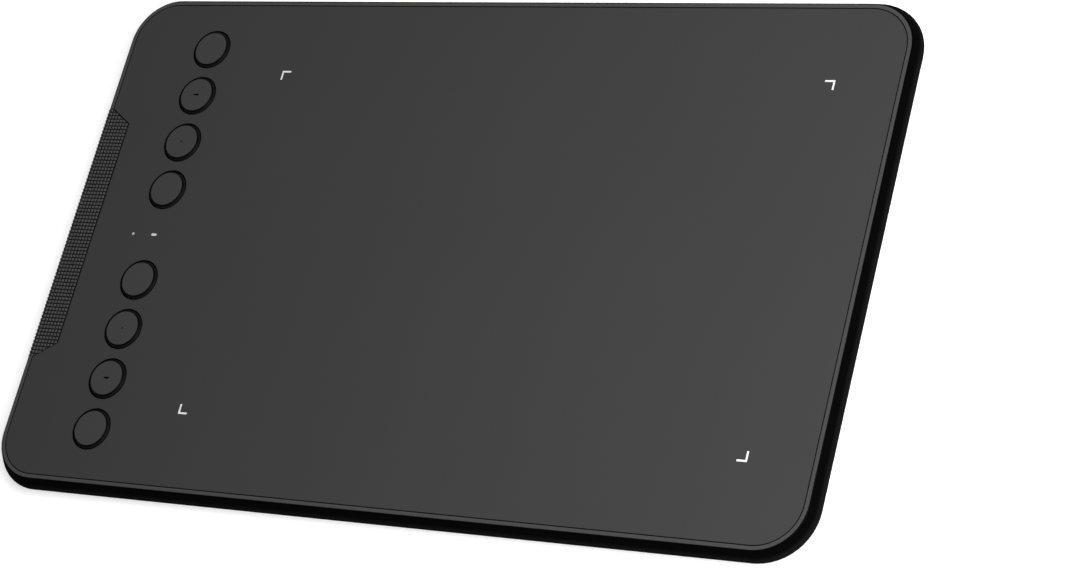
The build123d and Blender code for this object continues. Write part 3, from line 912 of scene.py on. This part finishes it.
def joined(pieces: Sequence[Piece], name: str) -> Piece:
    """Joins several pieces into one.

    Args:
        pieces: The pieces.
        name: Name of the whole.

    Returns:
        The whole.
    """
    clear_selection()
    for piece in pieces:
        piece.select_set(True)
    bpy.context.view_layer.objects.active = pieces[0]
    bpy.ops.object.join()
    pieces[0].name = name
    return pieces[0]


def copied(piece: Piece, matrix: Matrix, name: str) -> Piece:
    """A copy with its own mesh, moved by a matrix and turned outside out again if that mirrors it.

    Args:
        piece: The piece to copy.
        matrix: Where the copy's mesh goes.
        name: Name of the copy.

    Returns:
        The copy.
    """
    twin = piece.copy()
    twin.data = piece.data.copy()
    twin.data.transform(matrix)
    if matrix.determinant() < 0:
        twin.data.flip_normals()
    twin.name = name
    bpy.context.scene.collection.objects.link(twin)
    return twin


def smooth(piece: Piece, degrees: float) -> None:
    """Shades a piece smooth, with edges sharper than an angle kept."""
    activate(piece)
    bpy.ops.object.shade_smooth_by_angle(angle=math.radians(degrees))


# All sizes of the housing and of the pieces are in metres
@dataclass(frozen=True)
class Housing:
    """The sizes of the housing that the dressing pieces follow.

    Args:
        panel_length: Length of the drawing panel's seat.
        panel_depth: Depth of the seat from front to back.
        rim_width: Width of the flat rim round it.
        side_flare: How far the side runs outwards as it goes down.
        side_height: Height of the flared side.
        shoulder_radius: Radius between the rim and the side.
        top: Height of the panel's surface above the desk.
    """

    panel_length: float = 254.2 * MM
    panel_depth: float = 155.6 * MM
    rim_width: float = 1.5 * MM
    side_flare: float = 1.9 * MM
    side_height: float = 3.5 * MM
    shoulder_radius: float = 0.95 * MM
    top: float = 8.8 * MM

    @property
    def length(self) -> float:
        """Length of the housing."""
        return self.panel_length + 2 * (self.rim_width + self.side_flare)

    @property
    def side_angle(self) -> float:
        """Angle of the flared side from upright, in radians."""
        return math.atan2(self.side_flare, self.side_height)


@dataclass
class CornerMarks:
    """The four printed brackets round the drawing area.

    Args:
        length: Length of the drawing area.
        depth: Depth of the drawing area from front to back.
        centre_x: Place of its middle.
        stroke: Width of the lines.
        arm: Length of each arm.
        edge: Bevel on the ink's edges.
    """

    housing: Housing
    length: float = 177.8 * MM
    depth: float = 110.6 * MM
    centre_x: float = 19.55 * MM
    stroke: float = 0.55 * MM
    arm: float = 3.0 * MM
    ink_thickness: float = 0.012 * MM
    edge: float = 0.004 * MM

    def bracket(self) -> Piece:
        """Makes the bracket at +X and +Y, with its corner on the drawing area's corner.

        Returns:
            The bracket.
        """
        corner_x = self.centre_x + self.length / 2 + self.stroke / 2
        corner_y = self.depth / 2 + self.stroke / 2
        low = (corner_x - self.stroke, corner_y - self.stroke, self.housing.top)
        high = (corner_x, corner_y, self.housing.top + self.ink_thickness)
        mark = block("corner_mark_1", low, high)
        reach = self.arm - self.stroke
        select_faces(mark, lambda face: face.normal.x < -FACING)
        extrude((-reach, 0, 0))
        select_faces(mark, lambda face: face.normal.y < -FACING and face.center.x > low[0])
        extrude((0, -reach, 0))
        apply_modifier(mark, "BEVEL", width=self.edge, segments=1)
        return mark

    def build(self, wardrobe: Wardrobe) -> List[Piece]:
        """Makes and dresses the four marks.

        Args:
            wardrobe: Where the ink comes from.

        Returns:
            The marks.
        """
        first = self.bracket()
        to_centre = Matrix.Translation((-self.centre_x, 0, 0))
        marks = [first]
        for number, (flip_x, flip_y) in enumerate(((-1, 1), (-1, -1), (1, -1)), start=2):
            flip = Matrix.Diagonal((flip_x, flip_y, 1, 1))
            marks.append(copied(first, to_centre.inverted() @ flip @ to_centre, f"corner_mark_{number}"))
        for mark in marks:
            wardrobe.dress(mark, "mark_ink", MARK_INK)
            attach(mark, ROOT_BODY)
        return marks


@dataclass
class GripStuds:
    """The square grid of small studs on the grip strip, which follows the strip over the edge.

    Args:
        pitch: Distance from one stud to the next.
        base_radius: Radius of a stud's foot, to its corners.
        top_radius: Radius of its top, to the corners.
        top_edge: Bevel round its top.
        sink: How far its foot reaches into the strip.
        recess: How far the strip's surface lies under the panel's.
        floor_x: Place of the notch's floor.
        mouth_half: Half the notch's width at the housing's edge.
        floor_half: Half its width at the floor.
        floor_gap: Bare strip along the floor.
        end_gap: Bare strip along the notch's ends.
        cut_precision: How near a cut a corner counts as on it.
    """

    housing: Housing
    pitch: float = 1.17 * MM
    base_radius: float = 0.6 * MM
    top_radius: float = 0.42 * MM
    top_edge: float = 0.105 * MM
    height: float = 0.2 * MM
    sink: float = 0.05 * MM
    sides: int = 4
    recess: float = 0.25 * MM
    floor_x: float = -119.6 * MM
    mouth_half: float = 41.4 * MM
    floor_half: float = 36.5 * MM
    floor_gap: float = 0.62 * MM
    end_gap: float = 0.2 * MM
    cut_precision: float = 0.001 * MM
    columns: int = 9
    smooth_angle: float = 50.0

    def stud(self) -> Piece:
        """Makes one stud at the origin, a small square frustum with a rounded top.

        Returns:
            The stud.
        """
        clear_selection()
        bpy.ops.mesh.primitive_cone_add(
            vertices=self.sides,
            radius1=self.base_radius,
            radius2=self.top_radius,
            depth=self.height + self.sink,
            location=(0, 0, (self.height - self.sink) / 2),
            rotation=(0, 0, math.pi / self.sides),
        )
        stud = started("stud")
        select_faces(stud, lambda face: face.normal.z > FACING)
        bpy.ops.mesh.bevel(offset=self.top_edge, segments=1, affect="EDGES")
        leave_edit()
        return stud

    def on_profile(self, run: float) -> Triple:
        """A point of the strip's outer line.

        Args:
            run: Distance along the line from the notch's floor, outwards.

        Returns:
            X, Z and the slope's angle downwards, in radians.
        """
        house = self.housing
        top = house.top - self.recess
        turn = math.pi / 2 - house.side_angle
        foot_to_top = house.side_height - self.recess
        edge_x = -house.length / 2 + foot_to_top * math.tan(house.side_angle)
        tangent = house.shoulder_radius * math.tan(turn / 2)
        flat = (self.floor_x - edge_x) - tangent
        arc = house.shoulder_radius * turn
        if run <= flat:
            return self.floor_x - run, top, 0.0
        if run <= flat + arc:
            angle = (run - flat) / house.shoulder_radius
            x = edge_x + tangent - house.shoulder_radius * math.sin(angle)
            z = top - house.shoulder_radius * (1 - math.cos(angle))
            return x, z, angle
        down = run - flat - arc + tangent
        return edge_x - down * math.cos(turn), top - down * math.sin(turn), turn

    def trim(self, studs: Piece) -> None:
        """Cuts the studs off along the notch's slanted ends and straight on past its mouth.

        Args:
            studs: The studs as one piece.
        """
        slant_run = self.floor_x + self.housing.panel_length / 2
        slant_rise = self.mouth_half - self.floor_half
        slant = Vector((slant_rise, slant_run, 0)).normalized()
        straight = Vector((0, 1, 0))
        enter_edit(studs)
        limits = (((self.floor_x, self.floor_half, 0), slant), ((0, self.mouth_half, 0), straight))
        for start, outward in limits:
            for side in (1, -1):
                flip = Matrix.Diagonal((1, side, 1))
                bpy.ops.mesh.select_all(action="SELECT")
                bpy.ops.mesh.bisect(
                    plane_co=flip @ (Vector(start) - outward * self.end_gap),
                    plane_no=flip @ outward,
                    threshold=self.cut_precision,
                    use_fill=True,
                    clear_outer=True,
                )
        leave_edit()

    def build(self, wardrobe: Wardrobe) -> Piece:
        """Makes the studs column by column, each column an array of one stud, and dresses them.

        Args:
            wardrobe: Where the rubber comes from.

        Returns:
            The studs as one piece.
        """
        stud = self.stud()
        rows = math.ceil(self.mouth_half / self.pitch)
        half = self.base_radius / math.sqrt(2)
        columns = []
        for column in range(self.columns):
            x, z, angle = self.on_profile(self.floor_gap + half + column * self.pitch)
            place = Matrix.Translation((x, -rows * self.pitch, z)) @ Matrix.Rotation(-angle, 4, "Y")
            line = copied(stud, place, f"stud_column_{column + 1}")
            repeat_along_y(line, 2 * rows + 1, self.pitch)
            columns.append(line)
        bpy.data.objects.remove(stud)
        studs = joined(columns, "grip_studs")
        self.trim(studs)
        smooth(studs, self.smooth_angle)
        # The studs wear the paler copy of the grip rubber: a painted highlight.
        wardrobe.dress(studs, "stud_rubber_highlight", STUD_RUBBER_HIGHLIGHT)
        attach(studs, ROOT_BODY)
        return studs


@dataclass
class CaseScrews:
    """The screws in the underside's counterbores: rounded heads with a cross recess.

    Args:
        sides: How many sides stand for a circle.
        edge: Rounding of the head's edge.
        edge_steps: How many steps the rounding has.
        recess_reach: How far each arm of the recess reaches from the middle.
        recess_width: Width of its arms at the head's face.
        recess_taper: Its size at the bottom, as a share.
        corner_inset: Place of the right screws from the panel seat's corners.
        left_inset: Place of the left screws from its corners.
        middle_share: Place of the middle screws, as a share of the housing's length.
        middle_inset: Their place from the seat's long edges.
        turn_step: How much further each screw is turned than the one before, in radians.
    """

    housing: Housing
    head_radius: float = 1.9 * MM
    head_height: float = 1.2 * MM
    shank_radius: float = 1.0 * MM
    sides: int = 40
    edge: float = 0.3 * MM
    edge_steps: int = 3
    recess_reach: float = 1.15 * MM
    recess_width: float = 0.5 * MM
    recess_depth: float = 0.75 * MM
    recess_taper: float = 0.55
    corner_inset: Pair = (8.6 * MM, 11.8 * MM)
    left_inset: Pair = (8.6 * MM, 15.8 * MM)
    middle_share: float = -0.02
    middle_inset: float = 8.3 * MM
    turn_step: float = 0.61
    smooth_angle: float = 30.0

    def places(self) -> List[Pair]:
        """Works out the six screw places.

        Returns:
            Their X and Y, the right back one first.
        """
        half_x, half_y = self.housing.panel_length / 2, self.housing.panel_depth / 2
        back = [
            (half_x - self.corner_inset[0], half_y - self.corner_inset[1]),
            (self.left_inset[0] - half_x, half_y - self.left_inset[1]),
            (self.middle_share * self.housing.length, half_y - self.middle_inset),
        ]
        return back + [(x, -y) for x, y in back]

    def screw(self, low: float, high: float) -> Piece:
        """One screw on the Z axis, head down.

        Args:
            low: Height of the head's face.
            high: Height of the shank's tip.

        Returns:
            The screw.
        """
        clear_selection()
        bpy.ops.mesh.primitive_cylinder_add(
            vertices=self.sides,
            radius=self.head_radius,
            depth=self.head_height,
            location=(0, 0, low + self.head_height / 2),
        )
        screw = started("screw")
        apply_modifier(screw, "BEVEL", width=self.edge, segments=self.edge_steps, limit_method="ANGLE")
        select_faces(screw, lambda face: face.normal.z > FACING and len(face.vertices) > PLAIN_CORNERS)
        bpy.ops.mesh.inset(thickness=self.head_radius - self.edge - self.shank_radius)
        extrude((0, 0, high - low - self.head_height))
        reach, width = self.recess_reach, self.recess_width / 2
        for across in ((reach, width), (width, reach)):
            near = (-across[0], -across[1], low - self.edge)
            far = (across[0], across[1], low + self.recess_depth)
            cutter = block("recess_cutter", near, far)
            select_faces(cutter, lambda face: face.normal.z > FACING)
            bpy.ops.transform.resize(value=(self.recess_taper, self.recess_taper, 1.0))
            leave_edit()
            apply_modifier(screw, "BOOLEAN", object=cutter, operation="DIFFERENCE", solver="EXACT")
            bpy.data.objects.remove(cutter)
        return screw

    def build(self, wardrobe: Wardrobe) -> Piece:
        """Makes the six screws as one piece and dresses them.

        Args:
            wardrobe: Where the steel comes from.

        Returns:
            The screws as one piece.
        """
        low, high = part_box("case_screws")
        first = self.screw(low.z, high.z)
        screws = []
        for number, (x, y) in enumerate(self.places(), start=1):
            turn = Matrix.Rotation(number * self.turn_step, 4, "Z")
            screws.append(copied(first, Matrix.Translation((x, y, 0)) @ turn, f"screw_{number}"))
        bpy.data.objects.remove(first)
        piece = joined(screws, "cross_recess_screws")
        smooth(piece, self.smooth_angle)
        wardrobe.dress(piece, Slot.SCREW.value, FINISHES[Slot.SCREW])
        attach(piece, ROOT_BODY)
        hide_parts("case_screws")
        return piece


@dataclass
class PortContacts:
    """The rows of gilt contacts on the connector's tongue.

    Args:
        count: How many contacts a row has.
        setback: How far a contact starts behind the tongue's tip.
        edge_steps: How many steps its rounded edges have.
        tongue_half: Half the tongue's thickness.
    """

    count: int = 12
    pitch: float = 0.5 * MM
    width: float = 0.26 * MM
    length: float = 3.3 * MM
    setback: float = 0.35 * MM
    thickness: float = 0.03 * MM
    edge_steps: int = 2
    tongue_half: float = 0.35 * MM

    def build(self, wardrobe: Wardrobe) -> Piece:
        """Makes one contact, repeats it across the tongue, and mirrors the row to the underside.

        Args:
            wardrobe: Where the gilt comes from.

        Returns:
            The contacts as one piece.
        """
        low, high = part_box("connector_shell")
        centre_z = (low.z + high.z) / 2
        start = -self.pitch * (self.count - 1) / 2
        near_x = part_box("connector_tongue")[0].x + self.setback
        top = centre_z + self.tongue_half
        first = (near_x, start - self.width / 2, top)
        last = (near_x + self.length, start + self.width / 2, top + self.thickness)
        row = block("port_contacts", first, last)
        apply_modifier(row, "BEVEL", width=self.thickness / 2, segments=self.edge_steps)
        repeat_along_y(row, self.count, self.pitch)
        flip = Matrix.Translation((0, 0, 2 * centre_z)) @ Matrix.Diagonal((1, 1, -1, 1))
        piece = joined([row, copied(row, flip, "port_contacts_under")], "port_contacts")
        wardrobe.dress(piece, "contact_gilt", CONTACT_GILT)
        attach(piece, ROOT_BODY)
        return piece


@dataclass
class SnapDomes:
    """The steel domes under the plungers.

    Each has its solid's shape with rounded edges.

    Args:
        travel: How far a key goes down; not used.
        slack: Room left between a pressed plunger and its dome; not used.
        weld: How near two corners are made one.
        edge: Rounding of the edges.
        edge_steps: How many steps the rounding has.
    """

    count: int = 8
    travel: float = 0.4 * MM
    slack: float = 0.01 * MM
    weld: float = 0.001 * MM
    edge: float = 0.02 * MM
    edge_steps: int = 2
    smooth_angle: float = 35.0

    def dome(self) -> Piece:
        """Makes the first dome, from a welded copy of its solid's mesh.

        Returns:
            The dome.
        """
        dome = bpy.data.objects.new("formed_dome_1", frame["nodes"]["snap_dome_1"].data.copy())
        bpy.context.scene.collection.objects.link(dome)
        enter_edit(dome)
        bpy.ops.mesh.remove_doubles(threshold=self.weld)
        leave_edit()
        apply_modifier(dome, "BEVEL", width=self.edge, segments=self.edge_steps, limit_method="ANGLE")
        smooth(dome, self.smooth_angle)
        return dome

    def build(self, wardrobe: Wardrobe) -> List[Piece]:
        """Makes and dresses the domes, and ties each to the tablet's body.

        Args:
            wardrobe: Where the steel comes from.

        Returns:
            The domes.
        """
        first = self.dome()
        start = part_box("snap_dome_1")[0]
        domes = [first]
        for number in range(2, self.count + 1):
            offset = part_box(f"snap_dome_{number}")[0] - start
            domes.append(copied(first, Matrix.Translation(offset), f"formed_dome_{number}"))
        for number, dome in enumerate(domes, start=1):
            node = f"snap_dome_{number}"
            wardrobe.dress(dome, Slot.DOME.value, FINISHES[Slot.DOME])
            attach(dome, ROOT_BODY)
            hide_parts(node)
            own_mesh(dome)
        return domes


@dataclass(frozen=True)
class Lamp:
    """A soft square lamp that faces the object.

    Args:
        place: Where it hangs, in metres.
        size: Length of its side in metres.
        power: Its power in watts.
    """

    name: str
    place: Triple
    size: float
    power: float

    def build(self) -> Piece:
        """Hangs the lamp.

        Returns:
            The lamp.
        """
        data = bpy.data.lights.new(self.name, "AREA")
        data.size = self.size
        data.energy = self.power
        lamp = bpy.data.objects.new(self.name, data)
        turn = Vector(self.place).to_track_quat("Z", "Y").to_matrix().to_4x4()
        lamp.matrix_world = Matrix.Translation(self.place) @ turn
        bpy.context.scene.collection.objects.link(lamp)
        return lamp


@dataclass
class Studio:
    """White floor and world, two soft lamps, and the camera at the photograph's angle.

    Angles are in degrees, distances in metres, and the lens and its sensor in millimetres.

    Args:
        azimuth: The camera's angle round the object.
        elevation: Its angle above the desk.
        roll: Its turn round its own axis.
        distance: Its distance from the aim.
        aim: The point that it looks at.
        near: Nearest distance that it sees.
        far: Farthest distance that it sees.
        floor_reach: Length of the floor's side.
        floor_gap: How far the floor lies under the feet.
        paper: Display levels of the floor's own colour.
        ambient: How strongly the world lights, against 1 to the eye.
        near_glow: How strongly the floor glows to the eye near the object.
        far_glow: How strongly it glows far from it.
        fade_reach: Where the one passes into the other, and over what width.
    """

    azimuth: float = 53.8206
    elevation: float = 53.7422
    roll: float = -44.619
    distance: float = 808.92 * MM
    aim: Triple = (35.503 * MM, -9.048 * MM, 8.8 * MM)
    lens: float = 98.424
    sensor: float = 36.0
    near: float = 0.01
    far: float = 60.0
    floor_reach: float = 12.0
    floor_gap: float = 0.02 * MM
    paper: Triple = (240, 240, 240)
    ambient: float = 0.1
    near_glow: float = 0.55
    far_glow: float = 0.85
    fade_reach: float = 0.6
    lamps: Sequence[Lamp] = (
        Lamp("key_lamp", place=(0.42, -0.1, 0.42), size=0.45, power=5.3),
        Lamp("back_lamp", place=(-0.3, 1.1, 0.6), size=0.5, power=4.0),
    )

    def camera(self) -> Piece:
        """Places the camera by its angles round the aim.

        Returns:
            The camera.
        """
        azimuth, elevation = math.radians(self.azimuth), math.radians(self.elevation)
        right = Vector((math.cos(azimuth), math.sin(azimuth), 0))
        level = math.cos(elevation)
        back = Vector((math.sin(azimuth) * level, -math.cos(azimuth) * level, math.sin(elevation)))
        upward = back.cross(right)
        turn = Matrix((right, upward, back)).transposed().to_4x4()
        data = bpy.data.cameras.new("camera")
        data.sensor_width = self.sensor
        data.sensor_fit = "HORIZONTAL"
        data.lens = self.lens
        data.clip_start = self.near
        data.clip_end = self.far
        camera = bpy.data.objects.new("camera", data)
        place = Matrix.Translation(Vector(self.aim) + back * self.distance)
        camera.matrix_world = place @ turn @ Matrix.Rotation(math.radians(self.roll), 4, "Z")
        bpy.context.scene.collection.objects.link(camera)
        bpy.context.scene.camera = camera
        return camera

    def floor(self) -> Piece:
        """Makes the pale floor, which keeps the object's shadow and reads as white.

        Returns:
            The floor.
        """
        clear_selection()
        bpy.ops.mesh.primitive_plane_add(size=self.floor_reach, location=(0, 0, -self.floor_gap))
        floor = started("floor")
        paint = Paint(bpy.data.materials.new("floor_white"))
        place = paint.place()
        across, along = abs(paint.axis(place, "X")), abs(paint.axis(place, "Y"))
        far = across.larger(along).above(self.fade_reach, self.fade_reach)
        paper = paint.node("ShaderNodeBsdfDiffuse", {}, {"Color": tone(self.paper)})
        strength = paint.seen() * far.spread(self.near_glow, self.far_glow)
        glow = paint.node("ShaderNodeEmission", {}, {"Strength": strength})
        paint.close(paint.node("ShaderNodeAddShader", {}, {0: paper, 1: glow}))
        floor.data.materials.append(paint.owner)
        return floor

    def world(self) -> None:
        """White for the eye and for reflections, and a softer level as light."""
        world = bpy.data.worlds.new("studio")
        bpy.context.scene.world = world
        paint = Paint(world)
        inputs = {"Color": (1, 1, 1, 1), "Strength": paint.seen().spread(self.ambient, 1.0)}
        paint.close(paint.node("ShaderNodeBackground", {}, inputs), "ShaderNodeOutputWorld")

    def build(self) -> None:
        """Sets up the whole studio."""
        bpy.context.scene.view_settings.view_transform = "Standard"
        self.camera()
        self.floor()
        self.world()
        for lamp in self.lamps:
            lamp.build()


def main() -> None:
    """Builds the studio and every dressing piece in order."""
    logging.basicConfig(level=logging.INFO)
    wardrobe = Wardrobe()
    Studio().build()
    wardrobe.dress_nodes()
    housing = Housing()
    made = CornerMarks(housing).build(wardrobe)
    made.append(GripStuds(housing).build(wardrobe))
    made.append(CaseScrews(housing).build(wardrobe))
    made.append(PortContacts().build(wardrobe))
    made.extend(SnapDomes().build(wardrobe))
    for piece in made:
        log.info("made %s with %d faces", piece.name, len(piece.data.polygons))


if __name__ == "__main__":
    main()
